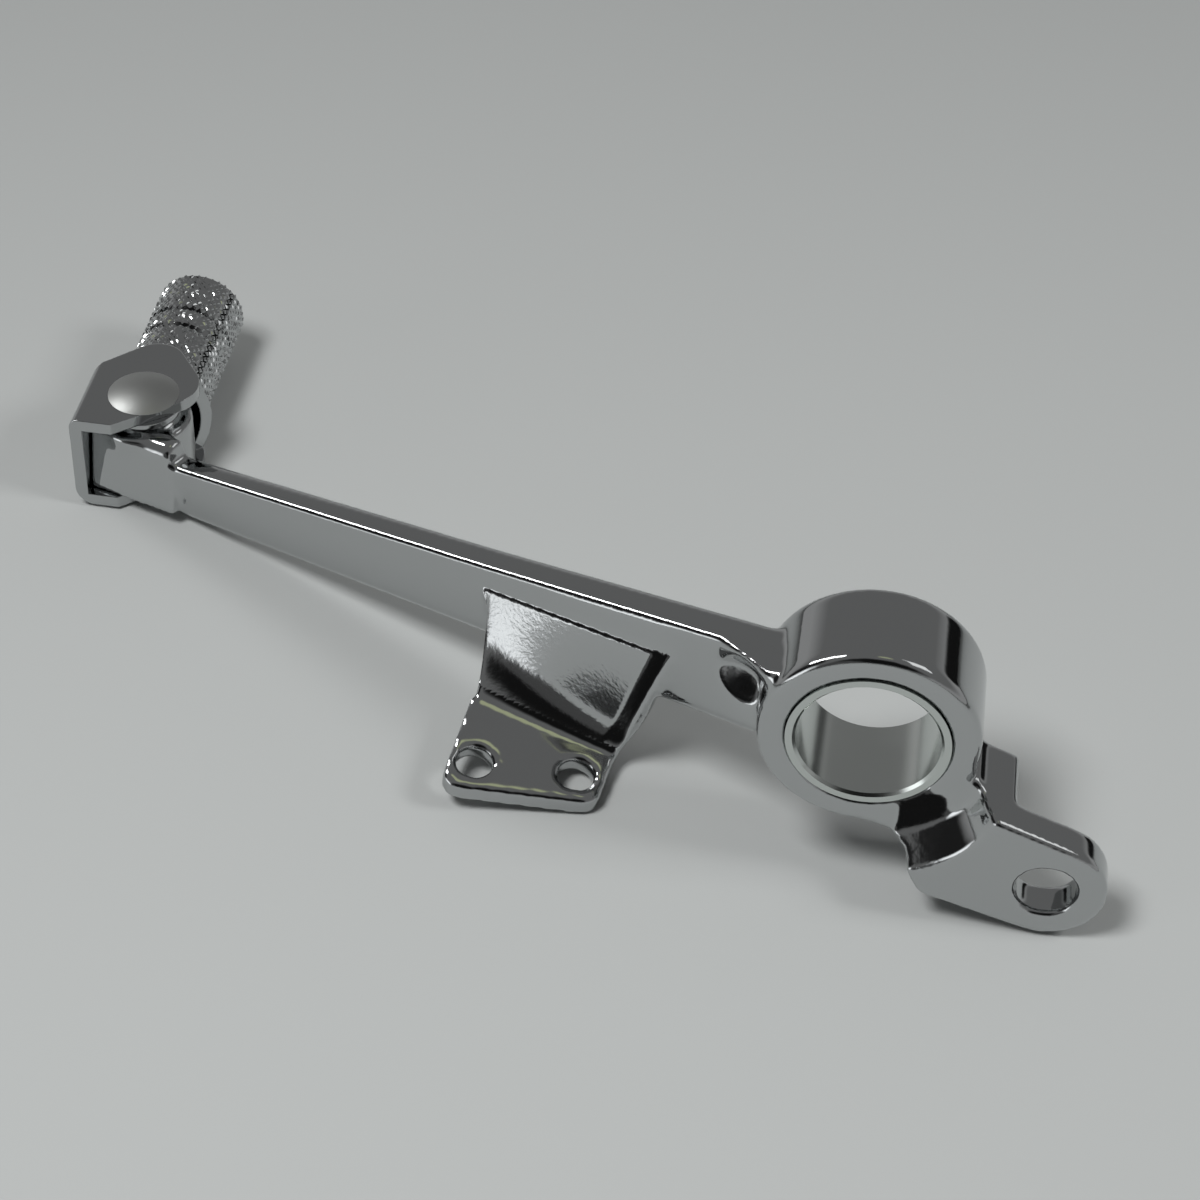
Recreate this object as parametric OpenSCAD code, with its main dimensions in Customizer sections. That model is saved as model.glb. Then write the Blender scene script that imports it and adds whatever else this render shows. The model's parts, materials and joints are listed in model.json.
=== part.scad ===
// Rear brake pedal: a cast and plated lever on a bushed pivot, with a pushrod lug behind the
// pivot, a drilled flag plate under the arm and a folding toe peg sprung on an upright rivet.
// The pivot axis is Y, outboard is +Y, the rear of the machine is +X and up is +Z.

/* [Pivot] */
// Bore of the bush that runs on the pivot shaft
pivot_bore_d = 20; // [17:0.5:21]
// Wall of the pressed-in bush
bush_wall = 1.4; // [1:0.1:2]
// Outside diameter of the pivot boss
boss_d = 31; // [29:0.5:34]
// Length of the bush along the pivot
boss_w = 14; // [12:0.5:18]
// How far the boss stands past the bush on its outboard side
boss_past = 1; // [0:0.1:2]
// Break on the boss rims
boss_edge = 0.7; // [0.3:0.1:1.2]

/* [Toe hinge place] */
// Distance of the toe hinge ahead of the pivot
toe_reach = 121; // [110:1:135]
// Distance of the toe hinge outboard of the pivot
toe_out = 62; // [56:1:68]
// Drop of the bracket's middle below the pivot
toe_drop = 18.9; // [17:0.5:21]

/* [Arm] */
// Distance at which the toe hinge's line along the arm passes the pivot's middle
arm_pass = 2.45; // [2:0.05:3]
// Distance of the arm's inboard face from the toe hinge
arm_face = 5.25; // [4.9:0.05:5.5]
// Thickness of the arm at the toe
arm_t_toe = 4.4; // [3.6:0.1:5.4]
// Thickness of the arm at the boss
arm_t_boss = 6.2; // [5:0.1:8]
// Height of the arm at the toe
arm_h_toe = 10.1; // [8:0.1:12]
// Height of the arm at its slight bend
arm_h_mid = 13.8; // [11:0.1:15]
// Height of the arm inside the boss
arm_h_boss = 17.1; // [14:0.1:18]
// Distance of the arm's slight bend ahead of the pivot
arm_bend = 63; // [50:1:70]
// Drop of the arm's lower edge below the pivot at the bend
arm_drop_mid = 17.2; // [16:0.1:18]
// Drop of the arm's lower edge below the pivot inside the boss
arm_drop_boss = 6.4; // [5:0.1:8]
// Radius along the arm's upper edges
arm_edge_top = 0.9; // [0.5:0.1:1.6]
// Radius along the arm's lower edges
arm_edge_low = 1.9; // [1:0.1:2.1]

/* [Pushrod lug] */
// Distance of the pushrod hole behind the pivot
rod_back = 27; // [24:0.5:30]
// Distance of the pushrod hole below the pivot
rod_drop = 18.8; // [16:0.2:20]
// Diameter of the pushrod hole
rod_hole_d = 8.8; // [6:0.2:10]
// Radius of the lug's round end
lug_end_r = 8.5; // [7.5:0.1:9.5]
// Thickness of the lug at the hole
lug_t = 5.6; // [4.5:0.1:6.4]
// How far the lug stands inboard of the boss face
lug_proud = 5.6; // [4:0.1:7]
// How far the lug's thick root reaches behind the pivot
lug_root = 21.4; // [20:0.1:23]
// How far outboard of the pivot's middle the thick root reaches
lug_root_out = 2.5; // [0:0.5:5]
// How far the lug's thin part runs forward under the boss face
lug_heel = 8.3; // [7:0.1:10]
// Drop of the lug's heel below the pivot
lug_heel_drop = 20.2; // [19:0.1:21]
// Inner radius between the boss and the lug's top
lug_fillet = 3; // [1.5:0.5:4]
// Radius of the spot face round the boss at its floor
spot_r = 17; // [16.4:0.1:18]
// Radius of the spot face at the lug's inboard face
spot_mouth_r = 19.8; // [18.5:0.1:20.5]

/* [Flag plate] */
// Thickness of the flag plate
flag_t = 3.2; // [2.5:0.1:4]
// Distance between the two flag holes
flag_pitch = 15; // [12:0.5:16]
// Diameter of the flag holes
flag_hole_d = 5.4; // [4:0.1:6.4]
// Radius of the flag's front corners
flag_corner_r = 2.6; // [1:0.1:4]
// Flag's edge inboard of the line of its holes
flag_inboard = 5.2; // [4:0.1:7]
// Flag's end beyond the front hole
flag_past_front = 4.4; // [3.5:0.1:6]
// Flag's end beyond the rear hole
flag_past_rear = 3.8; // [3.4:0.1:6]
// Distance of the flag's middle ahead of the pivot, along the arm
flag_ahead = 43.85; // [42:0.05:46]
// Distance of the flag's middle inboard of the toe hinge's line
flag_in = 18.2; // [17:0.1:19]
// Drop of the flag's middle below the pivot
flag_drop = 23; // [22:0.1:23.4]

/* [Toe bracket] */
// Height of the bracket over both ears
bracket_h = 17; // [15:0.5:19]
// Thickness of the bracket's ears and walls
bracket_t = 2; // [1.6:0.1:2.3]
// Distance of the stop wall's outer face from the hinge
bracket_left = 9.9; // [9.7:0.1:11]
// Distance of the bracket's open edge inboard of the hinge
bracket_front = 8.9; // [7.5:0.1:10]
// Distance of the bracket's back outboard of the hinge
bracket_back = 13.5; // [12.8:0.1:15]
// Outer radius where the lower ear bends into the stop wall
bracket_bend = 3; // [2:0.1:4]
// Outer radius where the upper ear bends into the stop wall
bracket_bend_top = 1.5; // [1:0.1:3]
// Outer radius of the bulged web that joins the ears round the back
web_r = 11.6; // [11:0.1:12.5]
// Angle at which the web ends, from straight behind the hinge
web_end = 41; // [20:1:60]
// Reach of the bracket behind the hinge
bracket_rear = 8.1; // [7.6:0.1:9]

/* [Toe peg] */
// Diameter of the knurled peg
peg_d = 14.6; // [12:0.2:15]
// Reach of the peg outboard of the hinge
peg_reach = 36; // [28:0.2:42]
// Distance of the first turned groove outboard of the hinge
groove_first = 20.8; // [17:0.2:22]
// Distance between the two turned grooves
groove_pitch = 4.9; // [3:0.1:6]
// Depth of the turned grooves
groove_depth = 0.5; // [0.3:0.1:1]
// Width of a turned groove at its floor
groove_w = 0.4; // [0.2:0.1:1]
// Diameter of the tenon riveted into the bracket's web
tenon_d = 6; // [4:0.5:7]
// How far the tenon stands inside the web
tenon_past = 0.4; // [0:0.1:1]

/* [Hinge rivet and spring] */
// Diameter of the rivet's shank
rivet_d = 5; // [4:0.1:5.4]
// Diameter of the rivet's domed head
rivet_head_d = 11.6; // [9:0.2:12]
// Height of the domed head
rivet_head_h = 1.3; // [0.8:0.1:2]
// Running clearance between the rivet and the arm's eye, on the radius
rivet_play = 0.05; // [0.02:0.01:0.09]
// Radius of the arm's round eye inside the bracket
eye_r = 7.6; // [7.2:0.1:7.8]
// Gap between the arm's eye and each ear
ear_gap = 0.15; // [0.1:0.05:0.3]
// Diameter of the washer between the upper ear and the eye
washer_d = 11.6; // [9:0.2:13]
// Thickness of the washer
washer_t = 1; // [0.6:0.1:1.2]
// Wire diameter of the return spring
wire_d = 0.8; // [0.6:0.1:0.9]
// Turns of the return spring
spring_turns = 4; // [3:1:5]
// Clearance of the spring in its pocket and on the rivet
spring_play = 0.15; // [0.1:0.05:0.2]

/* [Hidden] */
$fn = 96;
chrome_col = [0.78, 0.79, 0.8];
bush_col = [0.62, 0.62, 0.6];
steel_col = [0.5, 0.5, 0.5];
cut = 0.5;
bush_r = pivot_bore_d / 2 + bush_wall;
boss_r = boss_d / 2;
hinge = [-toe_reach, toe_out, 0];
ear_top = -toe_drop + bracket_h / 2;
ear_low = -toe_drop - bracket_h / 2;
eye_top = ear_top - bracket_t - washer_t - ear_gap;
eye_low = ear_low + bracket_t + ear_gap;
// Angle of the arm to the machine's side, seen from above, so that it meets the boss
arm_turn = atan2(toe_out, toe_reach) + asin(arm_pass / norm([toe_reach, toe_out]));
// Distance of the pivot from the toe hinge, along the arm
pivot_u = sqrt(toe_reach * toe_reach + toe_out * toe_out - arm_pass * arm_pass);
// Stations of the arm along its length
arm_u_toe = 11;
arm_u_mid = pivot_u - arm_bend;
arm_u_boss = pivot_u - 3;
arm_low_toe = ear_low + 0.2;
// Eye: its flat side is turned and leans, and touches the stop wall
eye_turn = 17.5;
eye_flat_top = 6.8;
eye_flat_low = 9.3;
eye_flat_drop = 0.9;
eye_end = 9.5;
eye_lean = 12;
stop_gap = 0.04;
seat_h = 0.5;
lug_face = -boss_w / 2 - lug_proud;
lug_top_slope = 20.8;
lug_low_slope = 16.4;
// Where the arm's upper edge starts to widen towards the boss, and how far
flare_ahead = 20.5;
flare_in = 2.9;
// Hollow beside the boss
hollow_ahead = 15.9;
hollow_up = 0.7;
hollow_r = 8;
hollow_deep = 1.2;
// Lean and turn of the flag's foot
flag_lean = [6.5, 8.4];
flag_skew = 7.7;
// Lengths of the flag's foot back to the bend, and of the bend's corner, at its front and rear ends
flag_back = [11.8, 4.6];
flag_bend = [15, 8.6];
// How far the web runs on into the foot, and how deep
flag_lap = 1.6;
flag_sink = 0.25;
flag_rows = 16;
flag_cols = 8;
spring_r = rivet_d / 2 + spring_play + wire_d / 2;
pocket_r = spring_r + wire_d / 2 + spring_play;
spring_h = spring_turns * (wire_d + 0.12) + wire_d;
pocket_h = spring_h + 0.5;
spring_leg = 1.6;
spring_foot = 0.6;
// Depth of the countersink that the rivet's foot fills
foot_deep = 1.3;
fold_angle = 50;

// Round disc or tube along Y with broken rims, between two places on the axis
module turned_y(r, y0, y1, edge) {
    rotate([-90, 0, 0])
        rotate_extrude()
            polygon([[0, y0], [r - edge, y0], [r, y0 + edge], [r, y1 - edge], [r - edge, y1], [0, y1]]);
}

// A frame on the toe hinge: x runs along the arm to the boss, y is outboard of the arm
module arm_frame() {
    translate(hinge) rotate([0, 0, -arm_turn]) children();
}

// One straight stretch of the arm, with rolled edges, between two stations [u, low, height, thickness]
module arm_stretch(a, b) {
    hull() {
        for (s = [a, b]) {
            for (k = [[s[1] + arm_edge_low, arm_edge_low], [s[1] + s[2] - arm_edge_top, arm_edge_top]]) {
                for (w = [-arm_face + k[1], -arm_face + s[3] - k[1]]) {
                    translate([s[0], w, k[0]]) sphere(r = k[1], $fn = 32);
                }
            }
        }
    }
}

module arm_bar() {
    toe = [arm_u_toe, arm_low_toe, arm_h_toe, arm_t_toe];
    mid = [arm_u_mid, -arm_drop_mid, arm_h_mid, (arm_t_toe + arm_t_boss) / 2];
    end = [arm_u_boss, -arm_drop_boss, arm_h_boss, arm_t_boss];
    arm_frame() arm_stretch(toe, mid);
    intersection() {
        arm_frame()
            difference() {
                union() {
                    arm_stretch(mid, end);
                    arm_flare(mid, end);
                }
                // shallow hollow under the flare
                translate([pivot_u - hollow_ahead, -arm_face - hollow_r + hollow_deep, hollow_up])
                    sphere(r = hollow_r);
            }
        translate([-toe_reach, -boss_w / 2 + boss_edge / 2, -bracket_h * 2])
            cube([2 * toe_reach, toe_reach, 4 * bracket_h]);
    }
}

// The arm's upper edge widens to the boss's inboard rim
module arm_flare(mid, end) {
    r = arm_edge_top;
    // ahead of the pivot, inboard of the arm's face, depth under the arm's upper face
    spots = [
        [flare_ahead, -r, 0], [flare_ahead, -r, 2], [flare_ahead / 2, flare_in, 0.2], [flare_ahead / 2, flare_in, 2],
        [flare_ahead / 3, -r, 0], [flare_ahead / 3, -r, 6]
    ];
    hull() {
        for (s = spots) {
            at = mid + (arm_bend - s[0]) / (arm_bend - 3) * (end - mid);
            translate([at[0], -arm_face - s[1], at[1] + at[2] - r - 0.12 - s[2]]) sphere(r = r, $fn = 32);
        }
    }
}

// The arm's end inside the bracket: a round eye, flat on its inboard side, with a seat for the washer
module arm_eye() {
    shoulder = eye_top - seat_h;
    difference() {
        union() {
            translate([hinge[0], hinge[1], 0]) {
                translate([0, 0, eye_low - 1]) cylinder(r = eye_r, h = shoulder + 0.6 - eye_low);
                translate([0, 0, eye_top - 3]) cylinder(d = washer_d - 1, h = 3);
                eye_flat(shoulder);
            }
            arm_frame()
                translate([eye_r / 2, -arm_face + 0.1, eye_low - 0.6])
                    cube([arm_u_toe - eye_r / 2 + 2, arm_t_toe - 0.4, arm_h_toe - 1.4]);
        }
        translate([hinge[0] - 4 * eye_r, hinge[1] - 4 * eye_r, eye_low - bracket_h])
            cube([8 * eye_r, 8 * eye_r, bracket_h]);
    }
}

// The eye's flat side, turned to the machine's side, leaning out towards its foot
module eye_flat(shoulder) {
    intersection() {
        rotate([0, 0, -eye_turn])
            rotate([90, 0, 90])
                linear_extrude(6 * eye_r, center = true)
                    polygon([
                        [-3, eye_low - 1],
                        [-eye_flat_low - 0.2, eye_low - 1],
                        [-eye_flat_top, shoulder - eye_flat_drop],
                        [-washer_d / 2 + 0.6, shoulder],
                        [-3, shoulder]
                    ]);
        // ends at the stop wall and at the arm
        translate([-bracket_left + bracket_t + stop_gap, -4 * eye_r, -bracket_h * 2])
            cube([8 * eye_r, 5 * eye_r, bracket_h * 2]);
        rotate([0, 0, -arm_turn])
            translate([eye_end, 0, shoulder])
                rotate([0, -eye_lean, 0])
                    translate([-4 * eye_r, -4 * eye_r, -2 * bracket_h])
                        cube([4 * eye_r, 8 * eye_r, 3 * bracket_h]);
    }
}

module boss() {
    turned_y(boss_r, -boss_w / 2, boss_w / 2 + boss_past, boss_edge);
}

// Distance along a line from b, in direction run, to where it is r from the pivot
function reach_on(b, run, r) = -(b * run) - sqrt((b * run) * (b * run) - b * b + r * r);

// Outline of the lug, seen from inboard, from its round end back to the boss
module lug_outline() {
    c = [rod_back, -rod_drop];
    up = [sin(lug_top_slope), cos(lug_top_slope)];
    top_run = [-cos(lug_top_slope), sin(lug_top_slope)];
    low = [-sin(lug_low_slope), -cos(lug_low_slope)];
    low_run = [-cos(lug_low_slope), sin(lug_low_slope)];
    top_end = c + lug_end_r * up;
    low_end = c + lug_end_r * low;
    // web under the boss, leaving the boss face's edge on a tangent
    face_r = boss_r - boss_edge - 0.3;
    heel = [lug_heel, -lug_heel_drop];
    web_tip = [lug_heel - 1.3, -lug_heel_drop + 3.1];
    web_turn = atan2(web_tip[1], web_tip[0]) - acos(face_r / norm(web_tip));
    low_len = (low_end[0] - heel[0] - 1.5) / cos(lug_low_slope);
    // inner radius between the boss and the top edge
    b = top_end + lug_fillet * up;
    fillet = b + reach_on(b, top_run, boss_r + lug_fillet) * top_run;
    translate(c) circle(r = lug_end_r);
    polygon([
        top_end,
        top_end + 17 / 27 * rod_back * top_run,
        [0, -boss_r + 5],
        face_r * [cos(web_turn), sin(web_turn)],
        web_tip,
        heel,
        low_end + low_len * low_run,
        low_end
    ]);
    difference() {
        polygon([
            fillet - (lug_fillet + 1) * up,
            fillet - lug_fillet * up,
            fillet,
            fillet * (boss_r - 1) / norm(fillet)
        ]);
        translate(fillet) circle(r = lug_fillet);
    }
}

module lug() {
    difference() {
        union() {
            // thin lug at the hole
            rotate([90, 0, 0])
                translate([0, 0, -lug_face - lug_t]) linear_extrude(lug_t) lug_outline();
            // thick root beside the boss
            intersection() {
                rotate([90, 0, 0])
                    translate([0, 0, -lug_root_out])
                        linear_extrude(-lug_face + lug_root_out) lug_outline();
                translate([-boss_r, lug_face, -2 * boss_r])
                    cube([boss_r + lug_root, 2 * boss_w, 3 * boss_r]);
            }
        }
        // spot face round the boss
        rotate([90, 0, 0])
            translate([0, 0, boss_w / 2])
                cylinder(r1 = spot_r, r2 = 1.4 * spot_mouth_r - 0.4 * spot_r, h = 1.4 * lug_proud);
    }
}

// A point at a distance d ahead of the pivot along the arm and w outboard of the toe hinge's line
function arm_at(d, w, z) = [
    hinge[0] + (pivot_u - d) * cos(arm_turn) + w * sin(arm_turn),
    hinge[1] - (pivot_u - d) * sin(arm_turn) + w * cos(arm_turn),
    z
];
flag_mid = arm_at(flag_ahead, -flag_in, -flag_drop);
flag_x = [cos(flag_lean[1]), 0, -sin(flag_lean[1])];
flag_y = [sin(flag_lean[0]) * sin(flag_lean[1]), cos(flag_lean[0]), sin(flag_lean[0]) * cos(flag_lean[1])];
// A point at a depth under the flag's foot's upper face, x along the line of its holes
function foot_at(x, y, deep) =
    flag_mid + (x * cos(flag_skew) - y * sin(flag_skew)) * flag_x
    + (x * sin(flag_skew) + y * cos(flag_skew)) * flag_y - deep * cross(flag_x, flag_y);
flag_x_front = -flag_pitch / 2 - flag_past_front;
flag_x_rear = flag_pitch / 2 + flag_past_rear;
flag_left = [
    arm_at(flag_ahead + 19.3, -arm_face + 0.5, -flag_drop + 17),
    arm_at(flag_ahead + 15.3, -arm_face - 1.3, -flag_drop + 12.6),
    arm_at(flag_ahead + 17, -arm_face - 3.2, -flag_drop + 7.6),
    foot_at(flag_x_front + 4.5, flag_bend[0], 0),
    foot_at(flag_x_front + 3.5, flag_back[0] - flag_lap, flag_sink)
];
flag_right = [
    arm_at(flag_ahead - 19.5, -arm_face + 0.5, -flag_drop + 25),
    arm_at(flag_ahead - 10.2, -arm_face - 1.2, -flag_drop + 19.1),
    arm_at(flag_ahead - 16.7, -arm_face - 1.5, -flag_drop + 6.7),
    foot_at(flag_x_rear + 3, flag_bend[1], 0),
    foot_at(flag_x_rear + 1.5, flag_back[1] - flag_lap, flag_sink)
];

function bezier(p, t) =
    pow(1 - t, 4) * p[0] + 4 * pow(1 - t, 3) * t * p[1] + 6 * pow(1 - t, 2) * t * t * p[2]
    + 4 * (1 - t) * pow(t, 3) * p[3] + pow(t, 4) * p[4];
function flag_at(s, t) = (1 - s) * bezier(flag_left, t) + s * bezier(flag_right, t);
function flag_normal(s, t) =
    let (
        along = flag_at(1, t) - flag_at(0, t),
        down = flag_at(s, min(1, t + 0.02)) - flag_at(s, max(0, t - 0.02)),
        n = cross(down, along)
    )
    n / norm(n);
function flag_skin(side) = [
    for (i = [0 : flag_rows]) for (j = [0 : flag_cols])
        let (s = j / flag_cols, t = i / flag_rows)
            flag_at(s, t) - side * (flag_t - 2 * flag_sink * t) * flag_normal(s, t)
];
function grid_at(i, j) = i * (flag_cols + 1) + j;

// The flag's upright part and the bend at its foot, a ruled sheet between two side curves
module flag_web() {
    n = (flag_rows + 1) * (flag_cols + 1);
    front = [
        for (i = [0 : flag_rows - 1]) for (j = [0 : flag_cols - 1])
            for (k = [0, 1])
                k == 0 ? [grid_at(i, j), grid_at(i, j + 1), grid_at(i + 1, j)]
                       : [grid_at(i, j + 1), grid_at(i + 1, j + 1), grid_at(i + 1, j)]
    ];
    back = [for (f = front) [f[0] + n, f[2] + n, f[1] + n]];
    rim = concat(
        [for (j = [0 : flag_cols]) grid_at(0, j)],
        [for (i = [1 : flag_rows]) grid_at(i, flag_cols)],
        [for (j = [flag_cols - 1 : -1 : 0]) grid_at(flag_rows, j)],
        [for (i = [flag_rows - 1 : -1 : 1]) grid_at(i, 0)]
    );
    m = len(rim);
    side = [
        for (k = [0 : m - 1]) for (q = [0, 1])
            q == 0 ? [rim[k], rim[k] + n, rim[(k + 1) % m]]
                   : [rim[(k + 1) % m], rim[k] + n, rim[(k + 1) % m] + n]
    ];
    polyhedron(points = concat(flag_skin(0), flag_skin(1)), faces = concat(front, back, side));
}

// A frame on the flag's upper face, with x along the line of its two holes
module flag_frame() {
    translate(flag_mid) rotate([flag_lean[0], flag_lean[1], 0]) rotate([0, 0, flag_skew]) children();
}

// The flag's flat foot
module flag_foot() {
    c = flag_corner_r;
    flag_frame()
        translate([0, 0, -flag_t])
            linear_extrude(flag_t)
                hull() {
                    translate([flag_x_front + c, -flag_inboard + c]) circle(r = c, $fn = 48);
                    translate([flag_x_rear - c, -flag_inboard + 0.1 + c]) circle(r = c, $fn = 48);
                    polygon([
                        [flag_x_front + 3.2, flag_back[0] + 0.2],
                        [flag_x_rear + 1.9, flag_back[1] + 0.2],
                        [flag_x_rear + 0.6, 0]
                    ]);
                }
}

module pedal_arm() color(chrome_col) {
    difference() {
        union() {
            boss();
            arm_bar();
            arm_eye();
            flag_web();
            flag_foot();
            lug();
        }
        rotate([90, 0, 0]) cylinder(r = bush_r, h = 2 * boss_w, center = true);
        rotate([90, 0, 0])
            translate([rod_back, -rod_drop, 0]) cylinder(d = rod_hole_d, h = 4 * boss_w, center = true);
        translate([hinge[0], hinge[1], ear_low]) cylinder(r = rivet_d / 2 + rivet_play, h = bracket_h);
        translate([hinge[0], hinge[1], ear_low]) cylinder(r = pocket_r, h = bracket_t + ear_gap + pocket_h);
        // arc that the spring's upper leg swings in
        translate([hinge[0], hinge[1], ear_low + bracket_t + spring_h - wire_d - 0.3])
            rotate([0, 0, -fold_angle - 15])
                rotate_extrude(angle = fold_angle + 30)
                    square([pocket_r + spring_leg, wire_d + 0.8]);
        flag_frame() {
            for (side = [-1, 1]) {
                translate([side * flag_pitch / 2, 0, -2 * flag_t])
                    cylinder(d = flag_hole_d, h = 4 * flag_t);
            }
        }
    }
}

module pivot_bush() color(bush_col) {
    rotate([-90, 0, 0])
        rotate_extrude()
            polygon([
                [pivot_bore_d / 2, -boss_w / 2 + 0.4],
                [pivot_bore_d / 2 + 0.4, -boss_w / 2],
                [bush_r, -boss_w / 2],
                [bush_r, boss_w / 2],
                [pivot_bore_d / 2 + 0.4, boss_w / 2],
                [pivot_bore_d / 2, boss_w / 2 - 0.4]
            ]);
}

// Outline of the bracket's ears seen from above, on the hinge
module ear_outline() {
    rear_r = 6;
    back_r = 4.5;
    left_r = 5;
    hull() {
        translate([bracket_rear - rear_r, 3.3]) circle(r = rear_r, $fn = 64);
        translate([-0.3, bracket_back - back_r]) circle(r = back_r, $fn = 64);
        translate([-bracket_left + left_r, 3.5]) circle(r = left_r, $fn = 64);
        polygon([[-bracket_left, -bracket_front], [-3, -bracket_front], [-bracket_left, 0]]);
    }
}

// The ears, and the web bulged between them, on the hinge
module bracket_shell() {
    for (z = [ear_low, ear_top - bracket_t]) {
        translate([0, 0, z]) linear_extrude(bracket_t) ear_outline();
    }
    far = 4 * web_r;
    intersection() {
        translate([0, 0, -toe_drop]) sphere(r = web_r);
        translate([-bracket_left, -bracket_front, ear_low + bracket_t / 2])
            cube([far, far, bracket_h - bracket_t]);
        translate([0, 0, ear_low])
            linear_extrude(bracket_h)
                polygon([
                    [0, -0.3],
                    [far * cos(web_end - 2), far * sin(web_end - 2)],
                    [far, far],
                    [-far, far],
                    [-far, -0.3]
                ]);
    }
}

// Side view of the bracket's bends into its stop wall
module bend_profile() {
    run = 4 * bracket_left;
    translate([bracket_bend, bracket_bend]) circle(r = bracket_bend);
    translate([bracket_bend_top, bracket_h - bracket_bend_top]) circle(r = bracket_bend_top);
    translate([0, bracket_bend]) square([run, bracket_h - bracket_bend - bracket_bend_top]);
    translate([bracket_bend, 0]) square([run, bracket_bend + 1]);
    translate([bracket_bend_top, bracket_h - bracket_bend_top - 1]) square([run, bracket_bend_top + 1]);
}

module toe_bracket() color(chrome_col) {
    inner_left = -bracket_left + bracket_t;
    far = 4 * web_r;
    translate([hinge[0], hinge[1], 0])
        difference() {
            intersection() {
                union() {
                    bracket_shell();
                    // stop wall
                    translate([-bracket_left, -bracket_front, ear_low])
                        cube([bracket_t, bracket_front + 4, bracket_h]);
                }
                translate([-bracket_left, 0, ear_low])
                    rotate([90, 0, 0]) linear_extrude(4 * web_r, center = true) bend_profile();
            }
            // room for the arm's eye
            intersection() {
                union() {
                    translate([0, 0, ear_low + bracket_t])
                        cylinder(r = eye_r + 0.35, h = bracket_h - 2 * bracket_t);
                    intersection() {
                        translate([0, 0, -toe_drop]) sphere(r = web_r - bracket_t);
                        translate([-far, -far, ear_low + bracket_t])
                            cube([2 * far, 2 * far, bracket_h - 2 * bracket_t]);
                    }
                }
                translate([inner_left, -far, -far]) cube([2 * far, 2 * far, 2 * far]);
            }
            // open to the front and the rear
            translate([0, 0, ear_low + bracket_t])
                linear_extrude(bracket_h - 2 * bracket_t)
                    polygon([
                        [inner_left, -far],
                        [far, -far],
                        [far * cos(web_end), far * sin(web_end)],
                        [0, 0],
                        [inner_left, 0]
                    ]);
            translate([0, 0, ear_low - cut]) cylinder(d = rivet_d, h = bracket_h + 2 * cut);
            // seat of the spring's lower leg
            translate([spring_r, 0, ear_low + bracket_t - spring_foot])
                cylinder(d = wire_d + 0.04, h = bracket_t, $fn = 24);
            // countersink under the lower ear
            translate([0, 0, ear_low - cut])
                cylinder(r1 = rivet_d / 2 + foot_deep + cut, r2 = rivet_d / 2, h = foot_deep + cut);
            rotate([-90, 0, 0]) translate([0, toe_drop, 0]) cylinder(d = tenon_d, h = 2 * bracket_back);
        }
}

// Turned peg, coped to the bracket, with its tenon riveted into the web
module toe_peg() color(chrome_col) {
    r = peg_d / 2;
    grip_start = web_r - 4;
    translate([hinge[0], hinge[1], 0]) {
        difference() {
            translate([0, 0, -toe_drop])
                rotate([-90, 0, 0])
                    rotate_extrude()
                        polygon(concat(
                            [[0, grip_start], [r, grip_start]],
                            [for (g = [groove_first, groove_first + groove_pitch]) for (p = [
                                [0, -groove_w / 2 - groove_depth], [groove_depth, -groove_w / 2],
                                [groove_depth, groove_w / 2], [0, groove_w / 2 + groove_depth]
                            ]) [r - p[0], g + p[1]]],
                            [[r, peg_reach - 1.2], [r - 1.2, peg_reach], [0, peg_reach]]
                        ));
            bracket_shell();
        }
        translate([0, 0, -toe_drop])
            rotate([-90, 0, 0])
                translate([0, 0, web_r - bracket_t - tenon_past])
                    cylinder(d = tenon_d, h = bracket_t + tenon_past + cut);
    }
}

module hinge_rivet() color(chrome_col) {
    head_r = rivet_head_d / 2;
    dome_r = (head_r * head_r + rivet_head_h * rivet_head_h) / (2 * rivet_head_h);
    translate([hinge[0], hinge[1], 0]) {
        translate([0, 0, ear_low]) cylinder(d = rivet_d, h = bracket_h + cut);
        translate([0, 0, ear_low]) cylinder(r1 = rivet_d / 2 + foot_deep, r2 = rivet_d / 2, h = foot_deep);
        intersection() {
            translate([0, 0, ear_top]) cylinder(r = head_r - 0.1, h = 2 * rivet_head_h);
            translate([0, 0, ear_top + rivet_head_h - dome_r]) sphere(r = dome_r);
        }
    }
}

// Flat washer between the bracket's upper ear and the arm's eye
module hinge_washer() color(steel_col) {
    translate([hinge[0], hinge[1], ear_top - bracket_t - washer_t])
        difference() {
            cylinder(d = washer_d, h = washer_t);
            translate([0, 0, -cut]) cylinder(d = rivet_d, h = washer_t + 2 * cut);
        }
}

function coil_point(a) = [spring_r * cos(a), spring_r * sin(a), wire_d / 2 + a / 360 * (wire_d + 0.12)];

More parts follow.
